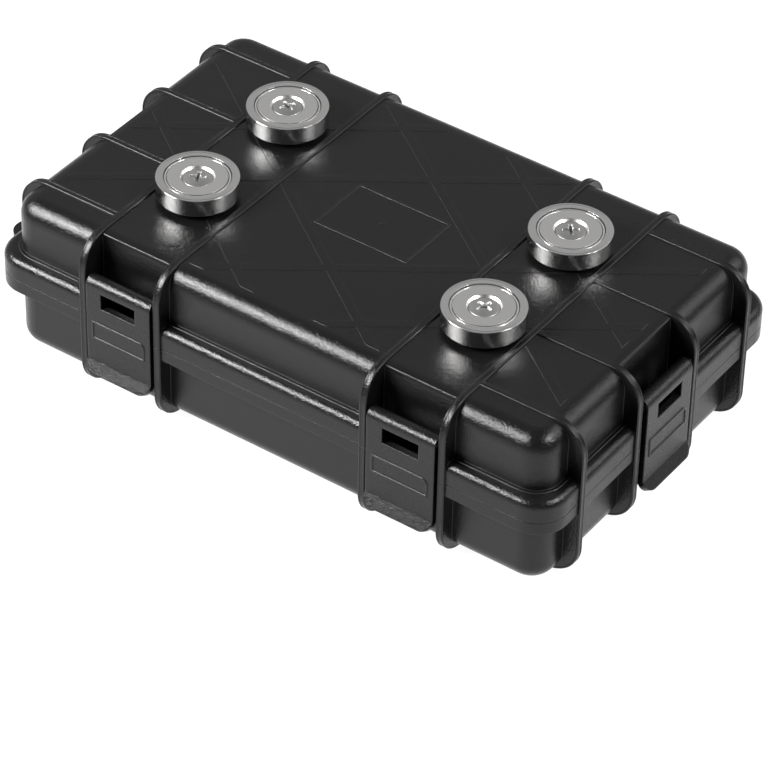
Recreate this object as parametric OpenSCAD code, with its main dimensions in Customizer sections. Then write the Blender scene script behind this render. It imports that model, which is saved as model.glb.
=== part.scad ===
// Storage box that clings to steel: a ribbed two-shell plastic case with four swinging latches,
// a foam-lined lid on two pinned hinges, and four round pot magnets screwed to the top of the lid.
// The origin is the middle of the footprint, at the height of the rib feet. +X runs to the right
// end, +Y to the hinge side and +Z up, through the magnets.

/* [Case] */
// Length over the rim bands
rim_l = 199; // [190:0.5:215]
// Width over the rim bands
rim_w = 121; // [116:0.5:130]
// Corner radius of the rim bands
rim_r = 10; // [9:0.5:13]
// How far the walls stand back from the rim bands
wall_inset = 4.5; // [4:0.1:5]
// Corner radius of the walls
wall_r = 8; // [7.5:0.1:9]
// Thickness of every wall, floor and roof
wall_t = 2.5; // [2:0.1:3]
// Height of the parting line above the rib feet
parting_z = 28.8; // [28:0.1:36]
// Height of the lid above the parting line
lid_h = 25.4; // [25:0.1:30]
// Height of the rim band of the base
base_band_h = 4.3; // [4:0.1:5.5]
// Height of the rim band of the lid
lid_band_h = 7.1; // [6:0.1:8]
// Round along the upper edge of the lid band
band_round = 2.8; // [1.5:0.1:3.5]
// Width of the small step at the foot of the lid wall
ledge_w = 1.1; // [0.5:0.1:1.5]
// Height of the small step at the foot of the lid wall
ledge_h = 0.2; // [0.1:0.1:1]
// Round along the top edge of the lid
roof_round = 6.1; // [5:0.1:7.4]
// Round along the bottom edge of the base
floor_round = 5.6; // [4:0.1:7]
// Height of the floor plate above the rib feet
foot_h = 1.2; // [1:0.1:3]

/* [Ribs] */
// Thickness of every rib
rib_t = 2.2; // [2:0.1:2.6]
// How far the ribs stand out past the rim bands
rib_proud = 0.6; // [0.4:0.1:1]
// How far the ribs stand up on the roof
rib_rise = 0.4; // [0.2:0.1:0.8]
// Outer radius of the ribs at the roof and at the feet
rib_round = 10.4; // [9:0.1:11]
// Distance of the outer crosswise ribs from the middle
cross_rib_out = 64; // [62:0.1:68]
// Distance of the inner crosswise ribs from the middle
cross_rib_in = 36.8; // [35.5:0.1:37.5]
// Distance of the outer end ribs from the middle
end_rib_out = 43.3; // [40:0.1:45]
// Distance of the inner end ribs from the middle
end_rib_in = 14.8; // [14.6:0.1:16]

/* [Rim seal] */
// Wall left round each latch bay, where the rim steps inwards
bay_wall = 4; // [3.8:0.1:4.6]
// Distance of the latch bay floor from the wall face of the lid
bay_depth = 3.7; // [3:0.1:4]
// Width of the seal groove in the lid rim
groove_w = 2; // [1.8:0.1:2.2]
// Depth of the seal groove
groove_h = 3.2; // [2.8:0.1:3.6]
// Distance of the groove from the edge of the rim band
groove_inset = 2.3; // [1.8:0.1:2.4]
// Height of the line left open round the outside between the two rims
rim_line_h = 0.2; // [0.1:0.05:0.4]
// Depth of the line left open round the outside between the two rims
rim_line_depth = 0.6; // [0.4:0.1:1]
// Height of the tongue on the base rim
tongue_h = 1.2; // [0.8:0.1:1.3]
// Side clearance of the tongue in the groove
tongue_gap = 0.35; // [0.25:0.05:0.4]
// Height of the seal strip
seal_h = 1.7; // [1.5:0.1:1.7]

/* [Latches] */
// Gap between a latch and the rib on each side of it
latch_gap = 0.8; // [0.6:0.1:1.2]
// Thickness of a latch plate
latch_t = 2.2; // [1.8:0.1:2.4]
// How far the latch plates stand out past the rim bands
latch_proud = 1.3; // [1:0.1:1.6]
// Height of the latch pivot above the parting line
pivot_h = 12.2; // [11.5:0.1:12.8]
// Radius of the barrel round the pivot
barrel_r = 2.6; // [2.4:0.1:2.8]
// Diameter of the latch pins
latch_pin_d = 1.6; // [1.4:0.1:1.8]
// How deep a latch pin sits in the rib at each end
latch_pin_seat = 1.6; // [1.2:0.1:1.7]
// Length of a latch below the parting line, lip included
latch_drop = 19.5; // [18:0.1:20.5]
// Width of the window in a latch
window_w = 12.6; // [10:0.1:14]
// Height of the window in a latch
window_h = 5.5; // [4.5:0.1:6]
// Distance from the pivot down to the window
window_drop = 1.2; // [1.1:0.1:1.8]
// Radius of the lower latch corners
latch_corner = 3.5; // [3:0.1:3.6]
// Lean of the finger lip from the plate
lip_angle = 33; // [20:1:35]
// Length of the finger lip
lip_l = 4.2; // [3.8:0.1:4.6]
// Width of the raised frame on a latch
frame_w = 19.4; // [14:0.1:20]
// Height of the raised frame on a latch
frame_h = 6.3; // [4:0.1:7]
// Distance of the raised frame below the window
frame_drop = 5.7; // [5:0.1:7]
// Height of the hook ridge inside a latch
hook_h = 1.9; // [1.5:0.1:2.2]
// Depth of the keeper step in the base band behind a latch
keeper_step = 2.6; // [2.4:0.1:2.8]
// Clearance between the hook ridge and the keeper
hook_gap = 0.25; // [0.2:0.05:0.35]

/* [Hinges] */
// Distance of the hinge axis behind the rim bands
hinge_out = 2.7; // [2.6:0.1:3.4]
// Radius of the hinge knuckles
knuckle_r = 2.5; // [2.3:0.1:2.55]
// Diameter of the hinge pins
hinge_pin_d = 2.5; // [2:0.1:2.6]
// Length of the two outer knuckles of a hinge, each measured from its rib
knuckle_l = 16.8; // [14:0.1:19]
// Gap between two hinge knuckles
knuckle_gap = 0.4; // [0.3:0.05:0.6]
// Running clearance round every pin
pin_fit = 0.05; // [0.03:0.01:0.08]

/* [Lanyard loops] */
// Distance of the lanyard loops from the middle
loop_y = 38.7; // [36:0.1:39]
// Diameter of the hole in a lanyard loop
loop_hole_d = 5.4; // [4.5:0.1:6]
// Width of the ring round the hole
loop_ring = 2.5; // [1.8:0.1:2.6]

/* [Magnets] */
// How far a magnet sits outside the middle between its two ribs
magnet_shift = 0.6; // [-1:0.1:1]
// Distance of the magnets from the middle, crosswise
magnet_y = 22.2; // [20:0.1:26]
// Diameter of a magnet cup
cup_d = 25; // [22:0.5:26]
// Height of a magnet cup
cup_h = 5.6; // [5.4:0.1:7]
// Thickness of the rim of a magnet cup
cup_rim = 2.35; // [2:0.05:2.6]
// Thickness of the floor of a magnet cup
cup_floor = 1.6; // [1.4:0.1:2]
// Width of the filler between a ring magnet and its cup
filler_w = 1.05; // [0.8:0.05:2]
// Diameter of the countersink in the ring magnet
sink_d = 10.4; // [9.6:0.1:11]
// Diameter of the screws
screw_d = 5; // [4:0.5:5]
// Diameter of a screw head
head_d = 9; // [8:0.1:9.2]
// Clearance of a screw in the holes that it passes
screw_fit = 0.3; // [0.2:0.05:0.4]
// Height of the rubber spacer under a cup
spacer_h = 2; // [1.5:0.1:3]
// Diameter of the rubber spacer under a cup
spacer_d = 16; // [12:0.5:20]
// Diameter of the washer inside the lid
washer_d = 10; // [9:0.5:12]
// Thickness of the washer inside the lid
washer_t = 1; // [0.8:0.1:1.2]
// Width of a nut across its flats
nut_w = 8; // [7:0.5:8]
// Height of a nut
nut_h = 4; // [3:0.1:4.5]
// Length of screw that stands out of the nut
screw_end = 1; // [0.5:0.1:2]

/* [Lid foam] */
// Thickness of the foam between its ridges
foam_base = 9; // [7:0.5:10]
// Height of the foam ridges
foam_wave = 7; // [4:0.5:8]
// Spacing of the foam ridges
foam_pitch = 22; // [18:0.5:28]
// Lean of the foam ridges from the length of the box
foam_lean = 36; // [20:1:50]
// Clearance of the foam in the lid
foam_gap = 0.3; // [0.2:0.05:0.5]

/* [Roof relief] */
// Height of the relief on the roof
relief_h = 0.12; // [0.1:0.02:0.4]
// Width of the criss-cross bands
relief_band = 2.8; // [2:0.1:4]
// Angle of the criss-cross bands from the length of the box
relief_angle = 35.7; // [30:0.1:45]
// Distance from the middle to where the inner bands cross
relief_near = 26.4; // [20:0.1:32]
// Distance from the middle to where the outer bands cross
relief_far = 58.2; // [50:0.1:66]
// Length of the bare plate in the middle of the roof
plate_l = 33; // [20:0.5:40]
// Width of the bare plate in the middle of the roof
plate_w = 23; // [14:0.5:26]
// Width of the line round the bare plate
plate_line = 0.7; // [0.5:0.1:1]

/* [Hidden] */
$fn = 64;

case_black = "#232323";
latch_black = "#2b2b2b";
nickel = "#d6d6d8";
steel = "#a8a8ac";
rubber = "#1a1a1a";
foam_black = "#2e2e2e";

// Half sizes of the bands, the walls and the room inside
rim_hx = rim_l / 2;
rim_hy = rim_w / 2;
wall_hx = rim_hx - wall_inset;
wall_hy = rim_hy - wall_inset;
room_hx = wall_hx - wall_t;
room_hy = wall_hy - wall_t;
room_r = wall_r - wall_t;
roof_z = parting_z + lid_h;
ceiling_z = roof_z - wall_t;
lid_band_top = parting_z + lid_band_h;
base_band_low = parting_z - base_band_h;
rib_hx = rim_hx + rib_proud;
rib_hy = rim_hy + rib_proud;

// Latch bays: the gap between two ribs, set back into the lid
bay_x = (cross_rib_out + cross_rib_in) / 2;
front_bay_w = cross_rib_out - cross_rib_in - rib_t;
end_bay_w = 2 * end_rib_in - rib_t;
latch_w = min(front_bay_w, end_bay_w) - 2 * latch_gap;
pivot_z = parting_z + pivot_h;
pin_hole_d = latch_pin_d + 2 * pin_fit;
boss_wall = 0.5;
boss_r = pin_hole_d / 2 + boss_wall;

// Hinge axis at the height of the parting line
hinge_y = rim_hy + hinge_out;
hinge_near = cross_rib_in - knuckle_l;
hinge_far = cross_rib_out + knuckle_l;
pin_bore = hinge_pin_d + 2 * pin_fit;
web_t = 2.3;

// Magnet stack, from the roof up and down
cup_z = roof_z + spacer_h;
cup_top = cup_z + cup_h;
hole_d = screw_d + 2 * screw_fit;
washer_z = ceiling_z - washer_t;
nut_z = washer_z - nut_h;
magnet_x = bay_x + magnet_shift;
filler_d = cup_d - 2 * cup_rim;
ring_d = filler_d - 2 * filler_w;
ring_drop = 0.1;
ring_h = cup_h - cup_floor - ring_drop;
filler_drop = 0.2;
sink_depth = (sink_d - hole_d) / 2;

// Screw head: a cone that sits in the countersink, a narrow land and a dome level with the cup
seat_gap = 0.03;
head_cone = (head_d - screw_d) / 2;
head_land = 0.15;
land_z = cup_top - ring_drop - (sink_d - head_d) / 2 + seat_gap;
head_dome = cup_top - land_z - head_land;
dome_r = (head_d * head_d / 4 + head_dome * head_dome) / (2 * head_dome);

// Small amount by which a cut runs past the face it opens
cut = 1;

// ---- Shapes that repeat ----

// Half section of a wall with a rounded upper edge, from the corner axis outwards
module top_round_section(r, z0, z1, edge) {
    square_span(0, r, z0, z1 - edge);
    square_span(0, r - edge, z0, z1);
    translate([r - edge, z1 - edge]) intersection() {
        circle(edge);
        square(edge);
    }
}

// Half section of a wall with a rounded lower edge, from the corner axis outwards
module low_round_section(r, z0, z1, edge) {
    square_span(0, r, z0 + edge, z1);
    square_span(0, r - edge, z0, z1);
    translate([r - edge, z0 + edge]) intersection() {
        circle(edge);
        translate([0, -edge]) square(edge);
    }
}

// Rectangle between two corners
module square_span(x0, x1, y0, y1) {
    translate([x0, y0]) square([x1 - x0, y1 - y0]);
}

// Box between two corners
module box_span(x0, x1, y0, y1, z0, z1) {
    translate([x0, y0, z0]) cube([x1 - x0, y1 - y0, z1 - z0]);
}

// Rounded rectangle in plan
module plate_outline(hx, hy, r) {
    square([2 * hx, 2 * (hy - r)], center = true);
    square([2 * (hx - r), 2 * hy], center = true);
    for (sx = [-1, 1], sy = [-1, 1]) {
        translate([sx * (hx - r), sy * (hy - r)]) circle(r);
    }
}

// A half section (children) carried round a rounded rectangle, and filled between its sides
module swept_box(hx, hy, r, z0, z1) {
    for (side = [0, 1]) {
        long_side = side == 0 ? hx - r : hy - r;
        across = side == 0 ? hy - r : hx - r;
        rotate([0, 0, 90 * side]) {
            for (flip = [0, 1]) {
                mirror([0, flip, 0]) translate([-long_side, across, 0])
                    rotate([90, 0, 90]) linear_extrude(2 * long_side) children();
            }
        }
    }
    for (turn = [0, 1], flip = [0, 1]) {
        mirror([turn, 0, 0]) mirror([0, flip, 0]) translate([hx - r, hy - r, 0])
            rotate_extrude(angle = 90) children();
    }
    box_span(-(hx - r), hx - r, -(hy - r), hy - r, z0, z1);
}

// Repeats its children at both ends of the box and turns them to face outwards
module both_sides() {
    for (s = [0, 1]) {
        mirror([s, 0, 0]) children();
    }
}

// ---- Latch bays in plan, grown by a margin on three sides ----

module bay_outlines(margin) {
    both_sides() {
        square_span(bay_x - front_bay_w / 2 - margin, bay_x + front_bay_w / 2 + margin,
            -rim_hy - 2 * cut, -(wall_hy - bay_depth - margin));
        square_span(wall_hx - bay_depth - margin, rim_hx + 2 * cut,
            -(end_bay_w / 2 + margin), end_bay_w / 2 + margin);
    }
}

// A closed strip that follows the rim and steps inwards round the latch bays
module rim_strip(inset, width, margin) {
    difference() {
        plate_outline(rim_hx - inset, rim_hy - inset, rim_r - inset);
        bay_outlines(margin);
        difference() {
            plate_outline(rim_hx - inset - width, rim_hy - inset - width, rim_r - inset - width);
            bay_outlines(margin + width);
        }
    }
}

// ---- Ribs ----

// Outline of a rib in side view, between two heights, with the given half length
module rib_outline(half, z0, z1) {
    intersection() {
        union() {
            square_span(-half, half, rib_round, roof_z + rib_rise - rib_round);
            square_span(-half + rib_round, half - rib_round, 0, roof_z + rib_rise);
            for (s = [-1, 1]) {
                translate([s * (half - rib_round), rib_round]) circle(rib_round);
                translate([s * (half - rib_round), roof_z + rib_rise - rib_round]) circle(rib_round);
            }
        }
        square_span(-half - cut, half + cut, z0, z1);
    }
}

// Four crosswise ribs, and four short ribs at each end, between two heights
module ribs(z0, z1) {
    for (x = [-cross_rib_out, -cross_rib_in, cross_rib_in, cross_rib_out]) {
        translate([x - rib_t / 2, 0, 0]) rotate([90, 0, 90])
            linear_extrude(rib_t) rib_outline(rib_hy, z0, z1);
    }
    for (y = [-end_rib_out, -end_rib_in, end_rib_in, end_rib_out]) {
        translate([0, y + rib_t / 2, 0]) rotate([90, 0, 0]) linear_extrude(rib_t) difference() {
            rib_outline(rib_hx, z0, z1);
            square_span(-cross_rib_out, cross_rib_out, z0 - cut, z1 + cut);
        }
    }
}

// ---- Hinges ----

// Knuckle on a web that reaches back to its rim band: up is 1 on the lid, -1 on the base
module knuckle(x0, x1, up) {
    difference() {
        union() {
            translate([x0, hinge_y, parting_z]) rotate([0, 90, 0]) cylinder(r = knuckle_r, h = x1 - x0);
            mid = parting_z + up * (web_t / 2 + pin_fit);
            box_span(x0, x1, rim_hy - cut, hinge_y, mid - web_t / 2, mid + web_t / 2);
        }
        translate([x0 - cut, hinge_y, parting_z]) rotate([0, 90, 0])
            cylinder(d = pin_bore, h = x1 - x0 + 2 * cut);
    }
}

// The two outer knuckles of each hinge, on the base
module base_knuckles() {
    both_sides() {
        knuckle(hinge_near, cross_rib_in - knuckle_gap / 2, -1);
        knuckle(cross_rib_out + knuckle_gap / 2, hinge_far, -1);
    }
}

// The middle knuckle of each hinge, on the lid
module lid_knuckles() {
    both_sides() knuckle(cross_rib_in + knuckle_gap / 2, cross_rib_out - knuckle_gap / 2, 1);
}

// ---- Base ----

// Loop for a cord, level with the base band of the left end
module lanyard_loop(y) {
    reach = loop_hole_d / 2 + loop_ring;
    translate([-rim_hx - loop_hole_d / 2, y, base_band_low]) difference() {
        union() {
            cylinder(r = reach, h = base_band_h);
            box_span(0, loop_hole_d / 2 + cut, -reach, reach, 0, base_band_h);
        }
        translate([0, 0, -cut]) cylinder(d = loop_hole_d, h = base_band_h + 2 * cut);
    }
}

// Narrow step round the outer edge of the base rim, which shows as a dark line between the rims
module rim_line() {
    translate([0, 0, parting_z - rim_line_h]) linear_extrude(rim_line_h + cut) difference() {
        plate_outline(rim_hx + loop_hole_d + 2 * loop_ring, rim_hy + cut, rim_r);
        plate_outline(rim_hx - rim_line_depth, rim_hy - rim_line_depth, rim_r - rim_line_depth);
    }
}

// Keeper step: the base band behind each latch stands back from the band beside it
module keeper_steps() {
    z0 = base_band_low - cut;
    z1 = parting_z + cut;
    both_sides() {
        box_span(bay_x - front_bay_w / 2, bay_x + front_bay_w / 2,
            -rib_hy - cut, -(rim_hy - keeper_step), z0, z1);
        box_span(rim_hx - keeper_step, rib_hx + cut, -end_bay_w / 2, end_bay_w / 2, z0, z1);
    }
}

// Room inside the base, with a rim shelf that steps in behind the latch bays
module base_room() {
    shelf_drop = 0.5;
    shelf_z = base_band_low - shelf_drop;
    swept_box(room_hx, room_hy, room_r, foot_h + wall_t, shelf_z)
        low_round_section(room_r, foot_h + wall_t, shelf_z, floor_round - wall_t);
    translate([0, 0, shelf_z - cut / 2]) linear_extrude(parting_z + cut - shelf_z) difference() {
        plate_outline(room_hx, room_hy, room_r);
        bay_outlines(bay_wall);
    }
}

module base_shell() {
    color(case_black) union() {
        difference() {
            union() {
                swept_box(wall_hx, wall_hy, wall_r, foot_h, base_band_low)
                    low_round_section(wall_r, foot_h, base_band_low, floor_round);
                translate([0, 0, base_band_low]) linear_extrude(base_band_h)
                    plate_outline(rim_hx, rim_hy, rim_r);
                ribs(0, parting_z);
                translate([0, 0, parting_z - cut]) linear_extrude(tongue_h + cut)
                    rim_strip(groove_inset + tongue_gap, groove_w - 2 * tongue_gap,
                        bay_wall / 2 - groove_w / 2 + tongue_gap);
                for (s = [-1, 1]) {
                    lanyard_loop(s * loop_y);
                }
            }
            base_room();
            rim_line();
            keeper_steps();
            both_sides() lid_knuckle_room();
        }
        base_knuckles();
    }
}

// Room in the base band for the turning knuckle of the lid
module lid_knuckle_room() {
    translate([cross_rib_in, hinge_y, parting_z]) rotate([0, 90, 0])
        cylinder(r = knuckle_r + knuckle_gap, h = cross_rib_out - cross_rib_in);
}

// ---- Lid ----

// Latch bays: everything outside the bay floors, from the parting line up
module bay_cuts() {
    translate([0, 0, parting_z - cut]) linear_extrude(lid_h + 2 * cut) bay_outlines(0);
}

// Room inside the lid, left solid round the latch bays
module lid_room() {
    difference() {
        swept_box(room_hx, room_hy, room_r, parting_z - cut, ceiling_z)
            top_round_section(room_r, parting_z - cut, ceiling_z, roof_round - wall_t);
        translate([0, 0, parting_z - 2 * cut]) linear_extrude(lid_h + 2 * cut) bay_outlines(bay_wall);
    }
}

// Pivot bosses on the inner faces of the ribs, on both sides of a latch
module pivot_bosses(bay_w) {
    boss_l = (bay_w - latch_w) / 2 - knuckle_gap / 2;
    for (s = [-1, 1]) {
        translate([s * (bay_w / 2 - boss_l / 2 + cut / 2), 0, 0]) rotate([0, 90, 0])
            cylinder(r = boss_r, h = boss_l + cut, center = true);
    }
}

// Relief on the roof: bands that criss-cross, kept clear of the middle plate and the spacers
module relief() {
    relief_gap = 1;
    field_x = wall_hx - roof_round - relief_gap;
    field_y = wall_hy - roof_round - relief_gap;
    field_l = 2 * field_x;
    difference() {
        intersection() {
            square([2 * field_x, 2 * field_y], center = true);
            union() {
                for (tilt = [-1, 1], y = [-relief_far, -relief_near, relief_near, relief_far]) {
                    translate([0, y]) rotate(tilt * relief_angle)
                        square([2 * field_l, relief_band], center = true);
                }
            }
        }
        bay_outlines(relief_gap);
        square([plate_l, plate_w], center = true);
        for (sx = [-1, 1], sy = [-1, 1]) {
            translate([sx * magnet_x, sy * magnet_y]) circle(d = spacer_d + 2 * relief_gap);
        }
    }
    difference() {
        square([plate_l, plate_w], center = true);
        square([plate_l - 2 * plate_line, plate_w - 2 * plate_line], center = true);
    }
    circle(r = plate_line);
}

module lid_shell() {
    color(case_black) difference() {
        union() {
            difference() {
                union() {
                    swept_box(wall_hx, wall_hy, wall_r, parting_z, roof_z)
                        top_round_section(wall_r, parting_z, roof_z, roof_round);
                    swept_box(rim_hx, rim_hy, rim_r, parting_z, lid_band_top)
                        top_round_section(rim_r, parting_z, lid_band_top, band_round);
                    translate([0, 0, lid_band_top - cut]) linear_extrude(ledge_h + cut)
                        plate_outline(wall_hx + ledge_w, wall_hy + ledge_w, wall_r + ledge_w);
                }
                bay_cuts();
            }
            intersection() {
                ribs(parting_z, roof_z + rib_rise + cut);
                lid_rib_zone();
            }
            both_sides() {
                translate([bay_x, -pivot_out(rim_hy), pivot_z]) pivot_bosses(front_bay_w);
                translate([pivot_out(rim_hx), 0, pivot_z]) rotate([0, 0, 90]) pivot_bosses(end_bay_w);
            }
            translate([0, 0, roof_z - cut]) linear_extrude(relief_h + cut) relief();
            lid_knuckles();
        }
        lid_room();
        translate([0, 0, parting_z - cut]) linear_extrude(groove_h + cut)
            rim_strip(groove_inset, groove_w, bay_wall / 2 - groove_w / 2);
        for (sx = [-1, 1], sy = [-1, 1]) {
            translate([sx * magnet_x, sy * magnet_y, ceiling_z - cut])
                cylinder(d = hole_d, h = wall_t + 2 * cut);
        }
        both_sides() {
            translate([bay_x, -pivot_out(rim_hy), pivot_z]) pin_seat(front_bay_w);
            translate([pivot_out(rim_hx), 0, pivot_z]) rotate([0, 0, 90]) pin_seat(end_bay_w);
            base_knuckle_room();
        }
    }
}

// Whole region of the lid above the parting line
module lid_rib_zone() {
    box_span(-rib_hx - cut, rib_hx + cut, -rib_hy - cut, rib_hy + cut, parting_z, roof_z + rib_rise + cut);
}

// Room in the lid band for the knuckles of the base
module base_knuckle_room() {
    for (span = [[hinge_near - cut, cross_rib_in], [cross_rib_out, hinge_far + cut]]) {
        translate([span[0], hinge_y, parting_z]) rotate([0, 90, 0])
            cylinder(r = knuckle_r + knuckle_gap, h = span[1] - span[0]);
    }
}

// Distance of a latch pivot from the middle, for the half size of its rim band
function pivot_out(half) = half + latch_proud - barrel_r;

// Blind hole across a latch bay, into the rib at each end
module pin_seat(bay_w) {
    rotate([0, 90, 0]) cylinder(d = pin_hole_d, h = bay_w + 2 * latch_pin_seat, center = true);
}

// ---- Seal and foam ----

module rim_seal() {
    seal_z = parting_z + groove_h - seal_h;
    color(rubber) translate([0, 0, seal_z]) linear_extrude(seal_h)
        rim_strip(groove_inset + pin_fit, groove_w - 2 * pin_fit, bay_wall / 2 - groove_w / 2 + pin_fit);
}

// Lower face of the foam: slanting ridges that swell and thin out along their length
foam_swell = 0.25;
function foam_face(x, y) =
    let (along = x * cos(foam_lean) + y * sin(foam_lean), across = y * cos(foam_lean) - x * sin(foam_lean))
    let (ridge = (1 + cos(360 * across / foam_pitch)) / 2, swell = 1 - foam_swell + foam_swell * cos(360 * along / foam_pitch))
    ceiling_z - foam_gap - foam_base - foam_wave * ridge * swell;

// Foam sheet as a grid of points, flat against the roof and ridged below
module foam_sheet(hx, hy) {
    nx = 36;
    ny = 22;
    row = ny + 1;
    total = (nx + 1) * row;
    below = [for (i = [0:nx], j = [0:ny])
        let (x = hx * (2 * i / nx - 1), y = hy * (2 * j / ny - 1)) [x, y, foam_face(x, y)]];
    corners = [[-hx, -hy, ceiling_z - foam_gap], [hx, -hy, ceiling_z - foam_gap],
        [hx, hy, ceiling_z - foam_gap], [-hx, hy, ceiling_z - foam_gap]];
    ridged = [for (i = [0:nx - 1], j = [0:ny - 1])
        let (a = i * row + j) each [[a, a + row, a + row + 1], [a, a + row + 1, a + 1]]];
    back = [[total, total + 3, total + 2], [total, total + 2, total + 1]];
    front_edge = concat([total], [total + 1], [for (i = [nx:-1:0]) i * row]);
    right_edge = concat([total + 1], [total + 2], [for (j = [ny:-1:0]) nx * row + j]);
    back_edge = concat([total + 2], [total + 3], [for (i = [0:nx]) i * row + ny]);
    left_edge = concat([total + 3], [total], [for (j = [0:ny]) j]);
    polyhedron(concat(below, corners), concat(ridged, back, [front_edge, right_edge, back_edge, left_edge]));
}

module lid_foam() {
    hx = room_hx - foam_gap;
    hy = room_hy - foam_gap;
    top = ceiling_z - foam_gap;
    color(foam_black) difference() {
        intersection() {
            foam_sheet(hx + cut, hy + cut);
            swept_box(hx, hy, room_r, parting_z, top)
                top_round_section(room_r, parting_z, top, roof_round - wall_t);
        }
        translate([0, 0, parting_z]) linear_extrude(lid_h) bay_outlines(bay_wall + foam_gap);
        for (sx = [-1, 1], sy = [-1, 1]) {
            translate([sx * magnet_x, sy * magnet_y, nut_z - screw_end - foam_gap])
                cylinder(d = washer_d + 4 * foam_gap, h = lid_h);
        }
    }
}

// ---- Latches ----

// Height at which the plate of a latch bends, measured from its pivot, and the depth of the mitre
latch_bend_z = -(pivot_h + latch_drop) + latch_t * sin(lip_angle) + lip_l * cos(lip_angle);
latch_mitre = latch_t * tan(lip_angle / 2);

// Finger lip in front view, below its bend, with rounded lower corners
module lip_outline() {
    square_span(-latch_w / 2, latch_w / 2, -lip_l + latch_corner, latch_mitre);
    square_span(-latch_w / 2 + latch_corner, latch_w / 2 - latch_corner, -lip_l, 0);
    for (s = [-1, 1]) {
        translate([s * (latch_w / 2 - latch_corner), -lip_l + latch_corner]) circle(latch_corner);
    }
}

// Finger lip at the foot of a latch, leaning outwards from the bend
module latch_lip() {
    translate([0, 0, latch_bend_z]) rotate([-lip_angle, 0, 0]) translate([0, latch_t, 0])
        rotate([90, 0, 0]) linear_extrude(latch_t) intersection() {
            lip_outline();
            square_span(-latch_w / 2, latch_w / 2, -lip_l, latch_mitre);
        }
}

// Ridge inside a latch that lies under the lower edge of the base band
module hook_ridge() {
    hook_z = -(pivot_h + base_band_h) - hook_gap - hook_h;
    hook_reach = latch_proud + keeper_step - hook_gap;
    translate([-latch_w / 2, 0, hook_z]) rotate([90, 0, 90]) linear_extrude(latch_w)
        polygon([[latch_t / 2, 0], [hook_reach - hook_h / 2, 0], [hook_reach, hook_h / 2],
            [hook_reach, hook_h], [latch_t / 2, hook_h]]);
}

// Raised frame on the face of a latch, with one rounded corner
module latch_frame() {
    line = 0.5;
    round_r = 2;
    difference() {
        frame_panel(frame_w, frame_h, round_r);
        frame_panel(frame_w - 2 * line, frame_h - 2 * line, round_r - line);
    }
}

module frame_panel(w, h, r) {
    difference() {
        square([w, h], center = true);
        translate([w / 2 - r, h / 2 - r]) difference() {
            square(r + cut);
            circle(r);
        }
    }
}

// One latch at the front of the box, its outer face at the given distance from the middle
module latch(face) {
    frame_rise = 0.25;
    window_top = -window_drop;
    color(latch_black) translate([0, -face, pivot_z]) difference() {
        union() {
            box_span(-latch_w / 2, latch_w / 2, 0, latch_t, latch_bend_z - latch_mitre, 0);
            translate([0, barrel_r, 0]) rotate([0, 90, 0]) cylinder(r = barrel_r, h = latch_w, center = true);
            latch_lip();
            hook_ridge();
            translate([0, cut, window_top - window_h - frame_drop - frame_h / 2]) rotate([90, 0, 0])
                linear_extrude(frame_rise + cut) latch_frame();
        }
        translate([-window_w / 2, -cut, window_top - window_h]) cube([window_w, 3 * barrel_r, window_h]);
        translate([0, barrel_r, 0]) rotate([0, 90, 0])
            cylinder(d = pin_hole_d, h = latch_w + 2 * cut, center = true);
    }
}

module latch_pin(out, bay_w) {
    color(steel) translate([0, -out, pivot_z]) rotate([0, 90, 0])
        cylinder(d = latch_pin_d, h = bay_w + 2 * (latch_pin_seat - pin_fit), center = true);
}

module front_latch(side) {
    translate([side * bay_x, 0, 0]) latch(rim_hy + latch_proud);
}

module end_latch(side) {
    rotate([0, 0, side * 90]) latch(rim_hx + latch_proud);
}

module front_latch_pin(side) {
    translate([side * bay_x, 0, 0]) latch_pin(pivot_out(rim_hy), front_bay_w);
}

module end_latch_pin(side) {
    rotate([0, 0, side * 90]) latch_pin(pivot_out(rim_hx), end_bay_w);
}

module hinge_pin(side) {
    mirror([side < 0 ? 1 : 0, 0, 0]) color(steel) translate([hinge_near, hinge_y, parting_z])
        rotate([0, 90, 0]) cylinder(d = hinge_pin_d, h = hinge_far - hinge_near);
}

// ---- Magnets ----

// Places its children on the axis of one magnet
module at_magnet(sx, sy) {
    translate([sx * magnet_x, sy * magnet_y, 0]) children();
}

// Steel cup, open upwards, with a hole in its floor and a small chamfer round its rim
module magnet_cup(sx, sy) {
    bevel = 0.3;
    color(nickel) at_magnet(sx, sy) translate([0, 0, cup_z]) rotate_extrude() difference() {
        polygon([[hole_d / 2, 0], [cup_d / 2 - bevel, 0], [cup_d / 2, bevel], [cup_d / 2, cup_h - bevel],
            [cup_d / 2 - bevel, cup_h], [hole_d / 2, cup_h]]);
        square_span(0, filler_d / 2, cup_floor, cup_h + cut);
    }
}

// Ring magnet with a countersunk hole
module magnet_ring(sx, sy) {
    color(nickel) at_magnet(sx, sy) translate([0, 0, cup_z + cup_floor]) rotate_extrude()
        polygon([[hole_d / 2, 0], [ring_d / 2, 0], [ring_d / 2, ring_h], [sink_d / 2, ring_h],
            [hole_d / 2, ring_h - sink_depth]]);
}

// Filler cast between the ring magnet and the rim of the cup
module cup_filler(sx, sy) {
    color(rubber) at_magnet(sx, sy) translate([0, 0, cup_z + cup_floor]) rotate_extrude()
        square_span(ring_d / 2, filler_d / 2, 0, ring_h - filler_drop);
}

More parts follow.
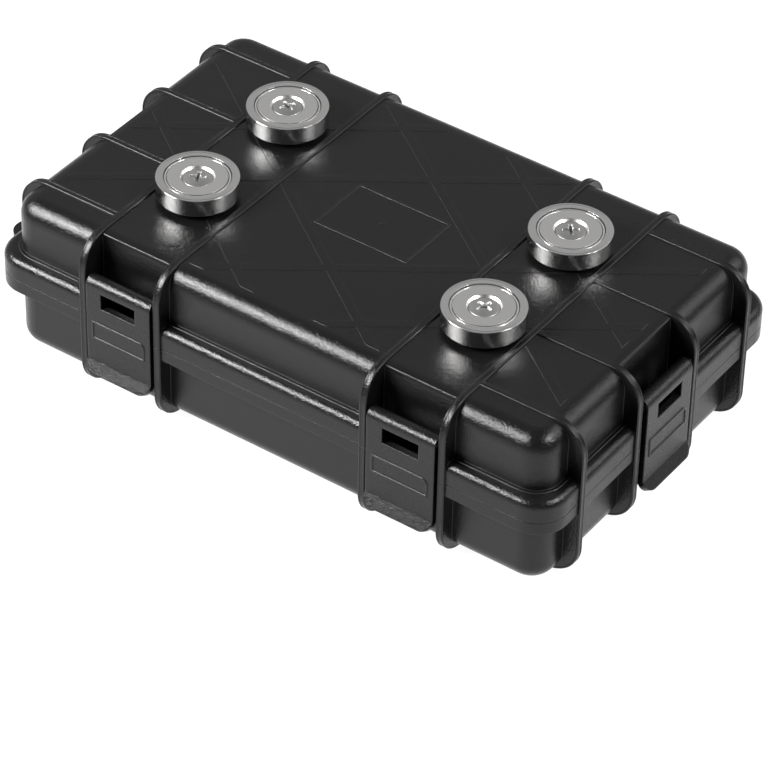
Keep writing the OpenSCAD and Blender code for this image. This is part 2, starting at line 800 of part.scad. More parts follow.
// Countersunk screw with a raised head and a cross recess, from the cup down through the lid and its nut
module cup_screw(sx, sy) {
    slot_w = 0.9;
    slot_share = 0.58;
    slot_l = slot_share * head_d;
    slot_depth = 2;
    color(steel) at_magnet(sx, sy) difference() {
        union() {
            translate([0, 0, nut_z - screw_end]) cylinder(d = screw_d, h = land_z - nut_z + screw_end);
            translate([0, 0, land_z - head_cone]) cylinder(d1 = screw_d, d2 = head_d, h = head_cone);
            translate([0, 0, land_z]) rotate_extrude() intersection() {
                translate([0, head_land + head_dome - dome_r]) circle(dome_r);
                square_span(0, head_d / 2, 0, head_land + head_dome);
            }
        }
        for (turn = [0, 90]) {
            rotate([0, 0, turn]) translate([-slot_l / 2, -slot_w / 2, cup_top - slot_depth])
                cube([slot_l, slot_w, slot_depth + cut]);
        }
    }
}

// Rubber spacer between the cup and the roof
module cup_spacer(sx, sy) {
    color(rubber) at_magnet(sx, sy) translate([0, 0, roof_z]) difference() {
        cylinder(d = spacer_d, h = spacer_h);
        translate([0, 0, -cut]) cylinder(d = hole_d, h = spacer_h + 2 * cut);
    }
}

module lid_washer(sx, sy) {
    color(steel) at_magnet(sx, sy) translate([0, 0, washer_z]) difference() {
        cylinder(d = washer_d, h = washer_t);
        translate([0, 0, -cut]) cylinder(d = hole_d, h = washer_t + 2 * cut);
    }
}

module lid_nut(sx, sy) {
    color(steel) at_magnet(sx, sy) translate([0, 0, nut_z]) difference() {
        cylinder(d = nut_w / cos(30), h = nut_h, $fn = 6);
        translate([0, 0, -cut]) cylinder(d = screw_d + 2 * pin_fit, h = nut_h + 2 * cut);
    }
}

base_shell();
lid_shell();
rim_seal();
lid_foam();
front_latch(-1);  // latch_front_left
front_latch(1);  // latch_front_right
end_latch(-1);  // latch_left_end
end_latch(1);  // latch_right_end
front_latch_pin(-1);  // latch_pin_front_left
front_latch_pin(1);  // latch_pin_front_right
end_latch_pin(-1);  // latch_pin_left_end
end_latch_pin(1);  // latch_pin_right_end
hinge_pin(-1);  // hinge_pin_left
hinge_pin(1);  // hinge_pin_right
magnet_cup(-1, -1);  // magnet_cup_front_left
magnet_cup(1, -1);  // magnet_cup_front_right
magnet_cup(-1, 1);  // magnet_cup_back_left
magnet_cup(1, 1);  // magnet_cup_back_right
magnet_ring(-1, -1);  // magnet_ring_front_left
magnet_ring(1, -1);  // magnet_ring_front_right
magnet_ring(-1, 1);  // magnet_ring_back_left
magnet_ring(1, 1);  // magnet_ring_back_right
cup_filler(-1, -1);  // cup_filler_front_left
cup_filler(1, -1);  // cup_filler_front_right
cup_filler(-1, 1);  // cup_filler_back_left
cup_filler(1, 1);  // cup_filler_back_right
cup_screw(-1, -1);  // cup_screw_front_left
cup_screw(1, -1);  // cup_screw_front_right
cup_screw(-1, 1);  // cup_screw_back_left
cup_screw(1, 1);  // cup_screw_back_right
cup_spacer(-1, -1);  // cup_spacer_front_left
cup_spacer(1, -1);  // cup_spacer_front_right
cup_spacer(-1, 1);  // cup_spacer_back_left
cup_spacer(1, 1);  // cup_spacer_back_right
lid_washer(-1, -1);  // lid_washer_front_left
lid_washer(1, -1);  // lid_washer_front_right
lid_washer(-1, 1);  // lid_washer_back_left
lid_washer(1, 1);  // lid_washer_back_right
lid_nut(-1, -1);  // lid_nut_front_left
lid_nut(1, -1);  // lid_nut_front_right
lid_nut(-1, 1);  // lid_nut_back_left
lid_nut(1, 1);  // lid_nut_back_right
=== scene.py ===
# %% [markdown]
# # A black box that clings to steel
# The real object is a small plastic case in two ribbed halves. Four latches hold it shut, and four round
# pot magnets are screwed to its roof. Its CAD model already has every hard part at its exact place, so
# this script only loads it, gives each part its finish, and adds what CAD leaves out. The model could be
# dressed by hand in the editor. A script was chosen because each choice can be read and run again.

# %% Load the frame
import math

import bpy
import numpy as np
from mathutils import Matrix, Vector


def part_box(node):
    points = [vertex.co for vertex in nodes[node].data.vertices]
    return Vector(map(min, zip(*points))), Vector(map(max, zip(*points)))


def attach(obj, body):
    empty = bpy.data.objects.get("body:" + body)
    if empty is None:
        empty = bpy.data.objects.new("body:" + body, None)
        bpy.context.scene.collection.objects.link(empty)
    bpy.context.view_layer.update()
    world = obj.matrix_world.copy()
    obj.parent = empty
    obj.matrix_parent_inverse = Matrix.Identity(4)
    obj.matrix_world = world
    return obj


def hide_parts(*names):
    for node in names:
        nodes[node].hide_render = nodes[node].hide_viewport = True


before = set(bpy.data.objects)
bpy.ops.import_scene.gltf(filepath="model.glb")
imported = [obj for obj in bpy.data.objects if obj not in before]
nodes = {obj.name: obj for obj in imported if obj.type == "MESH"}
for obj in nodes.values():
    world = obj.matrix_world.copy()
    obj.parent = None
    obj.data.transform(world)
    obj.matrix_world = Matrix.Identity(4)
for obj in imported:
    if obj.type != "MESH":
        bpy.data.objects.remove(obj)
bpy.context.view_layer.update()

# %% [markdown]
# ## Sizes that the pieces share
# The new pieces have to meet the CAD parts. Where the box round a part tells a size, it is measured on
# the part, so that it stays right when the case changes. The box round a whole shell doesn't tell where
# its ribs and bays are, so those sizes are written again further down, as they are in the CAD model.

# %% Sizes from the frame
MM = 0.001


def body_box(node):
    """Lowest and highest corner of a CAD node, as numpy arrays in metres."""
    low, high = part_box(node)
    return np.array(low), np.array(high)


foam_low, foam_high = body_box("lid_foam")
print("foam from", foam_low, "to", foam_high)

# %% [markdown]
# ## Shader maths as sentences
# Nodes can be added one by one and joined by hand, which soon hides the formula behind the plumbing.
# Here a small class wraps a shader value, so that `1 - mask` or `grain * 0.2` adds its own Math node.
# Every other kind of node comes from one method that takes its type, its settings and its inputs.

# %% A shader value and a node tree


class Value:
    """A shader value. An expression with it adds one Math node for each operator."""

    def __init__(self, graph, socket):
        self.graph = graph
        self.socket = socket

    def __add__(self, other):
        return self.graph.math("ADD", self, other)

    def __radd__(self, other):
        return self.graph.math("ADD", other, self)

    def __sub__(self, other):
        return self.graph.math("SUBTRACT", self, other)

    def __rsub__(self, other):
        return self.graph.math("SUBTRACT", other, self)

    def __mul__(self, other):
        return self.graph.math("MULTIPLY", self, other)

    def __rmul__(self, other):
        return self.graph.math("MULTIPLY", other, self)

    def __pow__(self, other):
        return self.graph.math("POWER", self, other)

    def __rpow__(self, other):
        return self.graph.math("POWER", other, self)


class Graph:
    """The node tree of one material or world, with one method that adds a node."""

    def __init__(self, owner):
        owner.use_nodes = True
        self.tree = owner.node_tree
        self.tree.nodes.clear()

    def node(self, kind, settings=None, inputs=None, output=0):
        """Adds a node: its settings first, then the values or links of its sockets. Gives one output."""
        made = self.tree.nodes.new(kind)
        for key, value in (settings or {}).items():
            setattr(made, key, value)
        for key, value in (inputs or {}).items():
            if isinstance(value, Value):
                self.tree.links.new(value.socket, made.inputs[key])
            else:
                made.inputs[key].default_value = value
        return Value(self, made.outputs[output]) if made.outputs else made

    def math(self, operation, first, second):
        return self.node("ShaderNodeMath", {"operation": operation}, {0: first, 1: second})

    def smooth(self, value, low, high):
        """0 below low, 1 above high, and a soft step between them."""
        return self.node("ShaderNodeMapRange", {"interpolation_type": "SMOOTHSTEP"},
                         {"Value": value, "From Min": low, "From Max": high})

    def grey_mix(self, factor, first, second):
        """A colour between two grey or tinted colours."""
        return self.node("ShaderNodeMix", {"data_type": "RGBA"}, {"Factor": factor, 6: first, 7: second}, 2)

    def millimetres(self):
        """Object coordinates in millimetres."""
        place = self.node("ShaderNodeTexCoord", output=3)
        return self.node("ShaderNodeVectorMath", {"operation": "SCALE"}, {0: place, "Scale": 1 / MM})

    def noise(self, place, scale, detail=2.0, roughness=0.5):
        return self.node("ShaderNodeTexNoise", None,
                         {"Vector": place, "Scale": scale, "Detail": detail, "Roughness": roughness})

    def surface(self, shader):
        self.node("ShaderNodeOutputMaterial", None, {"Surface": shader})


def new_material(name):
    material = bpy.data.materials.new(name)
    return material, Graph(material)


def grey(level, warm=0.0):
    """A linear grey as a colour, a little warmer or cooler than neutral."""
    return (level * (1 + warm), level, level * (1 - warm), 1.0)


print("shader helpers ready")

# %% [markdown]
# ## Black case plastic
# Such a case is usually moulded in black polypropylene. The grain of the mould breaks a highlight into
# specks, and the sharp edges come out a little round. The grain could be a displaced mesh, but at half a
# millimetre it would need millions of faces. A bump does it, and the Bevel node rounds the edges in the
# same normal, without touching the CAD mesh. Where that normal departs from the flat one there is an
# edge, and there the colour is painted paler: a painted highlight along each edge.

# %% Satin plastic
EDGE_HIGHLIGHT_TURN = 0.12
EDGE_HIGHLIGHT_PALER = 4


def satin_plastic(name, shade, gloss_roughness, grain_size, grain_height, edge_radius):
    """Dark plastic with a fine grain, and edges painted paler as a painted highlight. Sizes are in
    millimetres.
    """
    material, g = new_material(name)
    place = g.millimetres()
    grain = g.noise(place, 1.0 / grain_size, 1.0, 0.5)
    dust = g.noise(place, 2.3 / grain_size, 1.0, 0.5)
    cloud = g.noise(place, 0.03, 3.0)
    scuff = g.noise(place, 0.35, 4.0, 0.65)
    round_normal = g.node("ShaderNodeBevel", {"samples": 8}, {"Radius": edge_radius * MM})
    flat_normal = g.node("ShaderNodeNewGeometry", output=1)
    agreement = g.node("ShaderNodeVectorMath", {"operation": "DOT_PRODUCT"},
                       {0: round_normal, 1: flat_normal}, 1)
    # Painted highlight: the colour turns paler where the Bevel normal leans away from the flat one, along
    # edges.
    painted_edge_highlight = g.smooth(1 - agreement, 0.0, EDGE_HIGHLIGHT_TURN)
    normal = g.node("ShaderNodeBump", None, {"Strength": 1.0, "Distance": grain_height * MM,
                                             "Height": grain + dust * 0.3, "Normal": round_normal})
    color = g.grey_mix(cloud, grey(shade * 0.85, -0.01), grey(shade * 1.15, -0.02))
    color = g.grey_mix(painted_edge_highlight, color, grey(shade * EDGE_HIGHLIGHT_PALER))
    roughness = gloss_roughness + (scuff - 0.5) * 0.06 + (grain - 0.5) * 0.1
    shader = g.node("ShaderNodeBsdfPrincipled", None,
                    {"Base Color": color, "Roughness": roughness, "IOR": 1.4, "Normal": normal})
    g.surface(shader)
    return material


case_plastic = satin_plastic("case plastic", 0.005, 0.21, 0.5, 0.13, 0.3)
edge_plastic = satin_plastic("edge plastic", 0.005, 0.25, 0.6, 0.05, 0.0)
latch_plastic = satin_plastic("latch plastic", 0.006, 0.25, 0.5, 0.12, 0.5)
print("plastics:", case_plastic.name, edge_plastic.name, latch_plastic.name)

# %% [markdown]
# ## Metal, rubber and resin
# The pot magnets are turned steel cups under bright nickel, so their faces carry faint rings from the
# lathe. The rings could be cut into the mesh. A noise over the distance from each magnet's axis does it
# in the material, because the four cups sit at known places. The recess of each screw is painted darker:
# a painted shade.

# %% Nickel, steel, rubber and resin
magnet_names = ["front_left", "front_right", "back_left", "back_right"]
cup_middle = {name: sum(body_box("magnet_cup_" + name)) / 2 for name in magnet_names}


def ring_coordinates(g, middle):
    """The place seen from a magnet's middle, and its distance from the upright axis there, in
    millimetres."""
    place = g.millimetres()
    centred = g.node("ShaderNodeVectorMath", {"operation": "SUBTRACT"}, {0: place, 1: middle / MM})
    flat = g.node("ShaderNodeVectorMath", {"operation": "MULTIPLY"}, {0: centred, 1: (1.0, 1.0, 0.0)})
    return centred, g.node("ShaderNodeVectorMath", {"operation": "LENGTH"}, {0: flat}, 1)


def turned_metal(name, middle, level, gloss_roughness, ring_height):
    """Plated metal with faint rings round one magnet's axis."""
    material, g = new_material(name)
    centred, radius = ring_coordinates(g, middle)
    height = g.node("ShaderNodeSeparateXYZ", None, {0: centred}, 2)
    rings = g.node("ShaderNodeTexNoise", {"noise_dimensions": "1D"},
                   {"W": radius + height * 1.7, "Scale": 3.2, "Detail": 3.0})
    smudge = g.noise(centred, 0.25, 3.0)
    normal = g.node("ShaderNodeBump", None,
                    {"Strength": 1.0, "Distance": ring_height * MM, "Height": rings})
    roughness = gloss_roughness + (smudge - 0.5) * 0.08 + (rings - 0.5) * 0.06
    shader = g.node("ShaderNodeBsdfPrincipled", None,
                    {"Base Color": grey(level, 0.01), "Metallic": 1.0, "Roughness": roughness,
                     "Normal": normal})
    g.surface(shader)
    return material


# Painted shade in the recess of a screw: full a millimetre under the top of the head, gone at 0.45 mm.
PAINTED_SHADE_FULL = 1.0
PAINTED_SHADE_NONE = 0.45
PAINTED_SHADE_LEVEL = 0.2


def plain_metal(name, level, gloss_roughness, unshaded_height=None):
    """Drawn or plated steel with fine streaks. What lies in the millimetre under the given height, such as
    the recess of a screw, is painted darker: a painted shade."""
    material, g = new_material(name)
    place = g.millimetres()
    streaks = g.noise(place, 4.0, 2.0)
    color = g.grey_mix(streaks, grey(level * 0.92, 0.01), grey(level * 1.08, 0.01))
    if unshaded_height is not None:
        height = g.node("ShaderNodeSeparateXYZ", None, {0: place}, 2)
        # Painted shade: darker below the top of the head, where the recess lies in shade.
        unshaded = g.smooth(height, unshaded_height - PAINTED_SHADE_FULL, unshaded_height - PAINTED_SHADE_NONE)
        color = g.grey_mix(unshaded, grey(level * PAINTED_SHADE_LEVEL), color)
    normal = g.node("ShaderNodeBump", None, {"Strength": 1.0, "Distance": 0.01 * MM, "Height": streaks})
    shader = g.node("ShaderNodeBsdfPrincipled", None,
                    {"Base Color": color, "Metallic": 1.0,
                     "Roughness": gloss_roughness + (streaks - 0.5) * 0.1, "Normal": normal})
    g.surface(shader)
    return material


def matt_rubber(name, shade):
    """Black rubber with a dusty, uneven skin."""
    material, g = new_material(name)
    dust = g.noise(g.millimetres(), 1.5, 4.0, 0.6)
    normal = g.node("ShaderNodeBump", None, {"Strength": 1.0, "Distance": 0.04 * MM, "Height": dust})
    shader = g.node("ShaderNodeBsdfPrincipled", None,
                    {"Base Color": g.grey_mix(dust, grey(shade * 0.7), grey(shade * 1.4)),
                     "Roughness": 0.65 + dust * 0.2, "Normal": normal})
    g.surface(shader)
    return material


def cast_resin(name, shade):
    """Filler under the same plating: pale, smooth and glossy, with a slow wave in its surface."""
    material, g = new_material(name)
    wave = g.noise(g.millimetres(), 0.5, 1.0)
    normal = g.node("ShaderNodeBump", None, {"Strength": 1.0, "Distance": 0.08 * MM, "Height": wave})
    shader = g.node("ShaderNodeBsdfPrincipled", None,
                    {"Base Color": g.grey_mix(wave, grey(shade * 0.9), grey(shade * 1.1)),
                     "Roughness": 0.14, "Metallic": 0.9, "Normal": normal})
    g.surface(shader)
    return material


pin_steel = plain_metal("pin steel", 0.55, 0.32)
nut_steel = plain_metal("nut steel", 0.5, 0.4)
screw_low, screw_high = body_box("cup_screw_front_left")
screw_steel = plain_metal("screw steel", 0.5, 0.4, float(screw_high[2]) / MM)
seal_rubber = matt_rubber("seal rubber", 0.018)
cup_resin = cast_resin("cup resin", 0.7)
print("metals, rubber and resin ready")

# %% Give the CAD parts their finish


def dress(node, material):
    """Puts a material in every material slot of a CAD node."""
    for slot in nodes[node].material_slots:
        slot.material = material


for shell in ("base_shell", "lid_shell"):
    dress(shell, case_plastic)
for name in nodes:
    if name.startswith("latch_pin") or name.startswith("hinge_pin"):
        dress(name, pin_steel)
    elif name.startswith("latch_"):
        dress(name, latch_plastic)
    elif name.startswith("lid_washer") or name.startswith("lid_nut"):
        dress(name, nut_steel)
    elif name.startswith("cup_screw"):
        dress(name, screw_steel)
    elif name.startswith("cup_spacer") or name == "rim_seal":
        dress(name, seal_rubber)
    elif name.startswith("cup_filler"):
        dress(name, cup_resin)
cup_nickel = {}
ring_nickel = {}
for name in magnet_names:
    cup_nickel[name] = turned_metal("nickel cup " + name, cup_middle[name], 0.72, 0.12, 0.02)
    ring_nickel[name] = turned_metal("nickel ring " + name, cup_middle[name], 0.8, 0.3, 0.004)
    dress("magnet_cup_" + name, cup_nickel[name])
    dress("magnet_ring_" + name, ring_nickel[name])
print("slots on a node:", len(nodes["base_shell"].material_slots))

# %% [markdown]
# ## Ridged foam in the lid
# Cut foam with slanting ridges fills the lid and holds the keys still. It could be a subdivided plane
# with a displace modifier. Here its two faces are worked out as heights over one grid of points, because
# the outline has square notches round the latch bays, and a mask of grid cells makes those exactly. The
# ridges have the spacing, lean and height of the plainer foam solid in the CAD model.

# %% Foam heights and outline
FOAM_PITCH = 22 * MM
FOAM_LEAN = math.radians(36)
FOAM_BASE = 9 * MM
FOAM_WAVE = 7 * MM
FOAM_CORNER = 5.5 * MM
GRID_STEP = 1.0 * MM


def foam_drop(x, y):
    """How far the ridged face lies under the flat one: a cosine across the ridges, which swells and
    thins out along them, plus two slow waves that keep the ridges from looking machined."""
    along = x * math.cos(FOAM_LEAN) + y * math.sin(FOAM_LEAN)
    across = y * math.cos(FOAM_LEAN) - x * math.sin(FOAM_LEAN)
    turn = 2 * math.pi / FOAM_PITCH
    ridge = (1 + np.cos(turn * across)) / 2
    swell = 0.75 + 0.25 * np.cos(turn * along)
    uneven = 0.25 * MM * np.sin(turn * 0.37 * x + 1.0) * np.sin(turn * 0.53 * y + 0.4)
    return FOAM_BASE + FOAM_WAVE * ridge * swell + uneven


def corner_round(x, y, half_x, half_y, radius):
    """Pulls the square corners of a grid into quarter discs. Inside each corner square, a point (u, v)
    goes to (u * sqrt(1 - v*v/2), v * sqrt(1 - u*u/2)), which leaves the inner sides where they are."""
    u = np.clip((np.abs(x) - half_x + radius) / radius, 0, 1)
    v = np.clip((np.abs(y) - half_y + radius) / radius, 0, 1)
    inner_x = np.minimum(np.abs(x), half_x - radius)
    inner_y = np.minimum(np.abs(y), half_y - radius)
    new_x = np.sign(x) * (inner_x + radius * u * np.sqrt(1 - v * v / 2))
    new_y = np.sign(y) * (inner_y + radius * v * np.sqrt(1 - u * u / 2))
    return new_x, new_y


print("foam spans", foam_high - foam_low)

# %% A mesh from arrays


def make_piece(name, points, faces, body, material, caps=()):
    """A mesh object at the origin from whole arrays of points and quads, and of many-sided end caps. It
    rides on a CAD body."""
    mesh = bpy.data.meshes.new(name)
    mesh.from_pydata(points.tolist(), [], faces.tolist() + [cap.tolist() for cap in caps])
    mesh.polygons.foreach_set("use_smooth", np.arange(len(mesh.polygons)) < len(faces))
    mesh.materials.append(material)
    mesh.validate()
    piece = bpy.data.objects.new(name, mesh)
    bpy.context.scene.collection.objects.link(piece)
    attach(piece, body)
    print(name, "has", len(points), "points and", len(faces), "faces")
    return piece


def grid_lines(low, high, marks):
    """Even steps from low to high that also pass through each mark."""
    stops = [low, *sorted(marks), high]
    spans = [np.linspace(a, b, max(1, round((b - a) / GRID_STEP)), endpoint=False)
             for a, b in zip(stops[:-1], stops[1:])]
    return np.concatenate([*spans, [high]])


def masked_slab(x, y, keep, top, bottom):
    """A closed slab over the kept cells of a grid: a top face, a bottom face with the opposite turn, and
    a wall on every cell side where a kept cell meets a dropped one."""
    columns, rows = x.shape
    number = np.arange(columns * rows).reshape(columns, rows)
    under = number + columns * rows
    a, b, c, d = number[:-1, :-1], number[1:, :-1], number[1:, 1:], number[:-1, 1:]
    upper = np.stack([a[keep], b[keep], c[keep], d[keep]], 1)
    lower = np.stack([d[keep], c[keep], b[keep], a[keep]], 1) + columns * rows
    padded = np.pad(keep, 1)
    walls = []
    for first, second, neighbour in (
        (a, b, padded[1:-1, :-2]),
        (b, c, padded[2:, 1:-1]),
        (c, d, padded[1:-1, 2:]),
        (d, a, padded[:-2, 1:-1]),
    ):
        edge = keep & ~neighbour
        p, q = first[edge], second[edge]
        walls.append(np.stack([q, p, under.ravel()[p], under.ravel()[q]], 1))
    faces = np.concatenate([upper, lower, *walls])
    points = np.concatenate([
        np.stack([x.ravel(), y.ravel(), top.ravel()], 1),
        np.stack([x.ravel(), y.ravel(), bottom.ravel()], 1),
    ])
    used, faces = np.unique(faces, return_inverse=True)
    return points[used], faces.reshape(-1, 4)


def grid_faces(rows, columns, close_rows):
    """Quads of a grid whose columns wrap round, and whose last row joins the first if it is closed."""
    number = np.arange(rows * columns).reshape(rows, columns)
    ahead = np.roll(number, -1, 0)
    if not close_rows:
        number, ahead = number[:-1], ahead[:-1]
    return np.stack([number, ahead, np.roll(ahead, -1, 1), np.roll(number, -1, 1)], 2).reshape(-1, 4)


print("mesh helpers ready")

# %% Foam material


def open_foam(name, shade):
    """Charcoal open-cell foam: round cells whose sunken middles are painted darker, a painted shade in the
    pores, with paler rims, soft and without gloss.
    """
    material, g = new_material(name)
    place = g.millimetres()
    cells = g.node("ShaderNodeTexVoronoi", None, {"Vector": place, "Scale": 1.1, "Randomness": 1.0})
    fluff = g.noise(place, 3.0, 3.0, 0.7)
    patch = g.noise(place, 0.12, 2.0)
    pore = g.smooth(cells, 0.05, 0.55)
    height = pore * 0.7 + fluff * 0.3
    normal = g.node("ShaderNodeBump", None, {"Strength": 1.0, "Distance": 0.5 * MM, "Height": height})
    # Painted shade: the colour follows the bump, darker where the cells sink in.
    level = pore * 0.7 + fluff * 0.5 + (patch - 0.5) * 0.3
    color = g.grey_mix(level, grey(shade * 0.35), grey(shade * 1.9))
    shader = g.node("ShaderNodeBsdfPrincipled", None,
                    {"Base Color": color, "Roughness": 0.95, "Specular IOR Level": 0.2, "Normal": normal})
    g.surface(shader)
    return material


foam_black = open_foam("foam", 0.035)

# %% Foam piece
BAY_MARGIN = 5.1 * MM
END_BAY_EXTRA = 1.2 * MM
FRONT_NOTCH_Y = -48.0 * MM
END_NOTCH_X = 87.0 * MM
EDGE_ROUND = 4.5 * MM

half_x, half_y, top_z = (float(v) for v in foam_high)
latch_low, latch_high = body_box("latch_front_right")
notch_near = float(latch_low[0]) - BAY_MARGIN
notch_far = float(latch_high[0]) + BAY_MARGIN
end_notch_y = float(body_box("latch_right_end")[1][1]) + BAY_MARGIN + END_BAY_EXTRA

columns = grid_lines(-half_x, half_x, [s * v for s in (-1, 1) for v in (notch_near, notch_far, END_NOTCH_X)])
rows = grid_lines(-half_y, half_y, [FRONT_NOTCH_Y, -end_notch_y, end_notch_y])
grid_x, grid_y = np.meshgrid(columns, rows, indexing="ij")
middle_x = (grid_x[:-1, :-1] + grid_x[1:, 1:]) / 2
middle_y = (grid_y[:-1, :-1] + grid_y[1:, 1:]) / 2
in_front_notch = (middle_y < FRONT_NOTCH_Y) & (np.abs(middle_x) > notch_near) & (np.abs(middle_x) < notch_far)
in_end_notch = (np.abs(middle_x) > END_NOTCH_X) & (np.abs(middle_y) < end_notch_y)
foam_x, foam_y = corner_round(grid_x, grid_y, half_x, half_y, FOAM_CORNER)
from_edge = np.minimum(half_x - np.abs(foam_x), half_y - np.abs(foam_y))
into_round = np.maximum(EDGE_ROUND - from_edge, 0)
edge_sink = EDGE_ROUND - np.sqrt(np.maximum(EDGE_ROUND**2 - into_round**2, 0))
points, faces = masked_slab(foam_x, foam_y, ~(in_front_notch | in_end_notch),
                            top_z - edge_sink, top_z - foam_drop(foam_x, foam_y))
ridged_foam = make_piece("ridged_foam", points, faces, "lid", foam_black)
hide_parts("lid_foam")

# %% [markdown]
# ## Round edges of the ribs
# The edges of the ribs show as thin bright lines in the photograph, because each is a little round and
# mirrors a lamp somewhere on its turn. The CAD edges are sharp. The Bevel node softens large faces well,
# but the ribs stand only a few tenths of a millimetre above the roof. So a thin round cord is laid
# along each edge, and along the edge of the roof at each latch. It stands a little proud of the edge,
# where a real one is cut back. The sizes of the ribs and bays, in millimetres, are those of the CAD model.

# %% Cords along the edges
RIB_HX = 100.1
RIB_HY = 61.1
RIB_TOP = 54.6
RIB_ROUND = 10.4
RIB_HALF = 1.1
CROSS_RIBS = (-64.0, -36.8, 36.8, 64.0)
END_RIBS = (-43.3, -14.8, 14.8, 43.3)
SPLIT_Z = 28.8
FOOT_TURN = math.pi / 2.6
CORD_R = 0.46
CORD_IN = 0.33
END_SUPPORT = 0.05
ARC_STEPS = 16
CORD_STEPS = 10

BAY_FRONT_Y = -52.3
BAY_END_X = 91.3
BAY_EDGE_Z = 53.7
BAY_CORD_R = 0.8
BAY_CORD_IN = 0.58


def round_cord(path, outward, side, radius):
    """Sweeps a circle along a path: point (i, j) is p_i + r(cos a_j s + sin a_j o_i), where s is the
    sideways direction and o_i the outward one. One more point close to each end keeps the end caps from
    tilting the shading of the whole cord."""
    angle = np.linspace(0, 2 * math.pi, CORD_STEPS, endpoint=False)[:, None]
    first_step = path[1] - path[0]
    last_step = path[-1] - path[-2]
    second = path[0] + END_SUPPORT * first_step / np.linalg.norm(first_step)
    before = path[-1] - END_SUPPORT * last_step / np.linalg.norm(last_step)
    path = np.concatenate([path[:1], [second], path[1:-1], [before], path[-1:]])
    outward = np.concatenate([outward[:1], outward[:-1], outward[-1:], outward[-1:]])
    grid = path[:, None] + radius * (np.cos(angle) * side + np.sin(angle) * outward[:, None])
    faces = grid_faces(len(path), CORD_STEPS, False)
    last_ring = (len(path) - 1) * CORD_STEPS
    ends = [np.arange(CORD_STEPS)[::-1], np.arange(CORD_STEPS) + last_ring]
    if np.dot(np.cross(side, outward[-1]), path[-1] - path[-2]) > 0:
        faces = faces[:, ::-1]
        ends = [end[::-1] for end in ends]
    return grid.reshape(-1, 3), faces, ends


def half_arch(half, start):
    """Half of a lid rib in side view: along its top from start, round its shoulder and down to the
    split. Gives points (across, height) and their outward directions."""
    turn = np.linspace(0, math.pi / 2, ARC_STEPS)
    centre, radius = half - RIB_ROUND, RIB_ROUND - CORD_IN
    across = np.concatenate([[start], centre + radius * np.sin(turn), [half - CORD_IN]])
    height = np.concatenate([[RIB_TOP - CORD_IN], RIB_TOP - RIB_ROUND + radius * np.cos(turn), [SPLIT_Z]])
    turn = np.concatenate([[0.0], turn, [math.pi / 2]])
    return np.stack([across, height], 1), np.stack([np.sin(turn), np.cos(turn)], 1)


def half_foot(half):
    """Half of a base rib in side view: from the split down and round towards its foot."""
    turn = np.linspace(0, FOOT_TURN, ARC_STEPS)
    centre, radius = half - RIB_ROUND, RIB_ROUND - CORD_IN
    across = np.concatenate([[half - CORD_IN], centre + radius * np.cos(turn)])
    height = np.concatenate([[SPLIT_Z], RIB_ROUND - radius * np.sin(turn)])
    turn = np.concatenate([[0.0], turn])
    return np.stack([across, height], 1), np.stack([np.cos(turn), -np.sin(turn)], 1)


def place_cord(flat, away, end, along, edge_at, facing):
    """Puts a side view into space: along is the axis across the case, edge_at the place on the other."""
    path = np.zeros((len(flat), 3))
    path[:, along] = end * flat[:, 0]
    path[:, 1 - along] = edge_at
    path[:, 2] = flat[:, 1]
    outward = np.zeros((len(flat), 3))
    outward[:, along] = end * away[:, 0]
    outward[:, 2] = away[:, 1]
    side = np.zeros(3)
    side[1 - along] = facing
    return round_cord(path, outward, side, CORD_R)


def join_cords(name, body, cords):
    """Puts many closed strips into one piece."""
    first = np.cumsum([0] + [len(points) for points, _, _ in cords])
    points = np.concatenate([points for points, _, _ in cords])
    faces = np.concatenate([faces + n for (_, faces, _), n in zip(cords, first)])
    ends = [end + n for (_, _, ends), n in zip(cords, first) for end in ends]
    return make_piece(name, points * MM, faces, body, edge_plastic, caps=ends)


lid_cords = []
base_cords = []
rib_sets = ((CROSS_RIBS, RIB_HY, 0.0, 1), (END_RIBS, RIB_HX, CROSS_RIBS[3] + RIB_HALF, 0))
for ribs, half, start, along in rib_sets:
    for rib in ribs:
        for facing in (-1, 1):
            for end in (-1, 1):
                edge_at = rib + facing * (RIB_HALF - CORD_IN)
                lid_cords.append(place_cord(*half_arch(half, start), end, along, edge_at, facing))
                base_cords.append(place_cord(*half_foot(half), end, along, edge_at, facing))

up = np.array([[0.0, 0.0, 1.0]] * 2)
height = np.full(2, BAY_EDGE_Z - BAY_CORD_IN)
for side in (-1, 1):
    front_x = side * np.array([CROSS_RIBS[2] + RIB_HALF, CROSS_RIBS[3] - RIB_HALF])
    end_y = side * np.array([END_RIBS[1] + RIB_HALF, END_RIBS[2] - RIB_HALF])
    front = np.stack([front_x, np.full(2, BAY_FRONT_Y + BAY_CORD_IN), height], 1)
    end = np.stack([np.full(2, side * (BAY_END_X - BAY_CORD_IN)), end_y, height], 1)
    lid_cords.append(round_cord(front, up, np.array([0.0, -1.0, 0.0]), BAY_CORD_R))
    lid_cords.append(round_cord(end, up, np.array([float(side), 0.0, 0.0]), BAY_CORD_R))
join_cords("lid_edge_cords", "lid", lid_cords)
join_cords("base_edge_cords", "base", base_cords)

# %% [markdown]
# ## Turned parts of the magnets
# The steel cups are turned or pressed, so every edge of theirs is a little round, and a fine groove runs
# round the rim. The filler round the magnet shrinks from both walls as it sets. The CAD solids have sharp
# edges and a flat filler. Bevel modifiers could soften them. Here each part is its profile, carried round
# the axis, which also gives the groove and the dark gaps on both sides of the filler.

# %% Profiles and turning
ROUND_STEPS = 128
CORNER_STEPS = 5
FLAT_MARGIN = 0.03


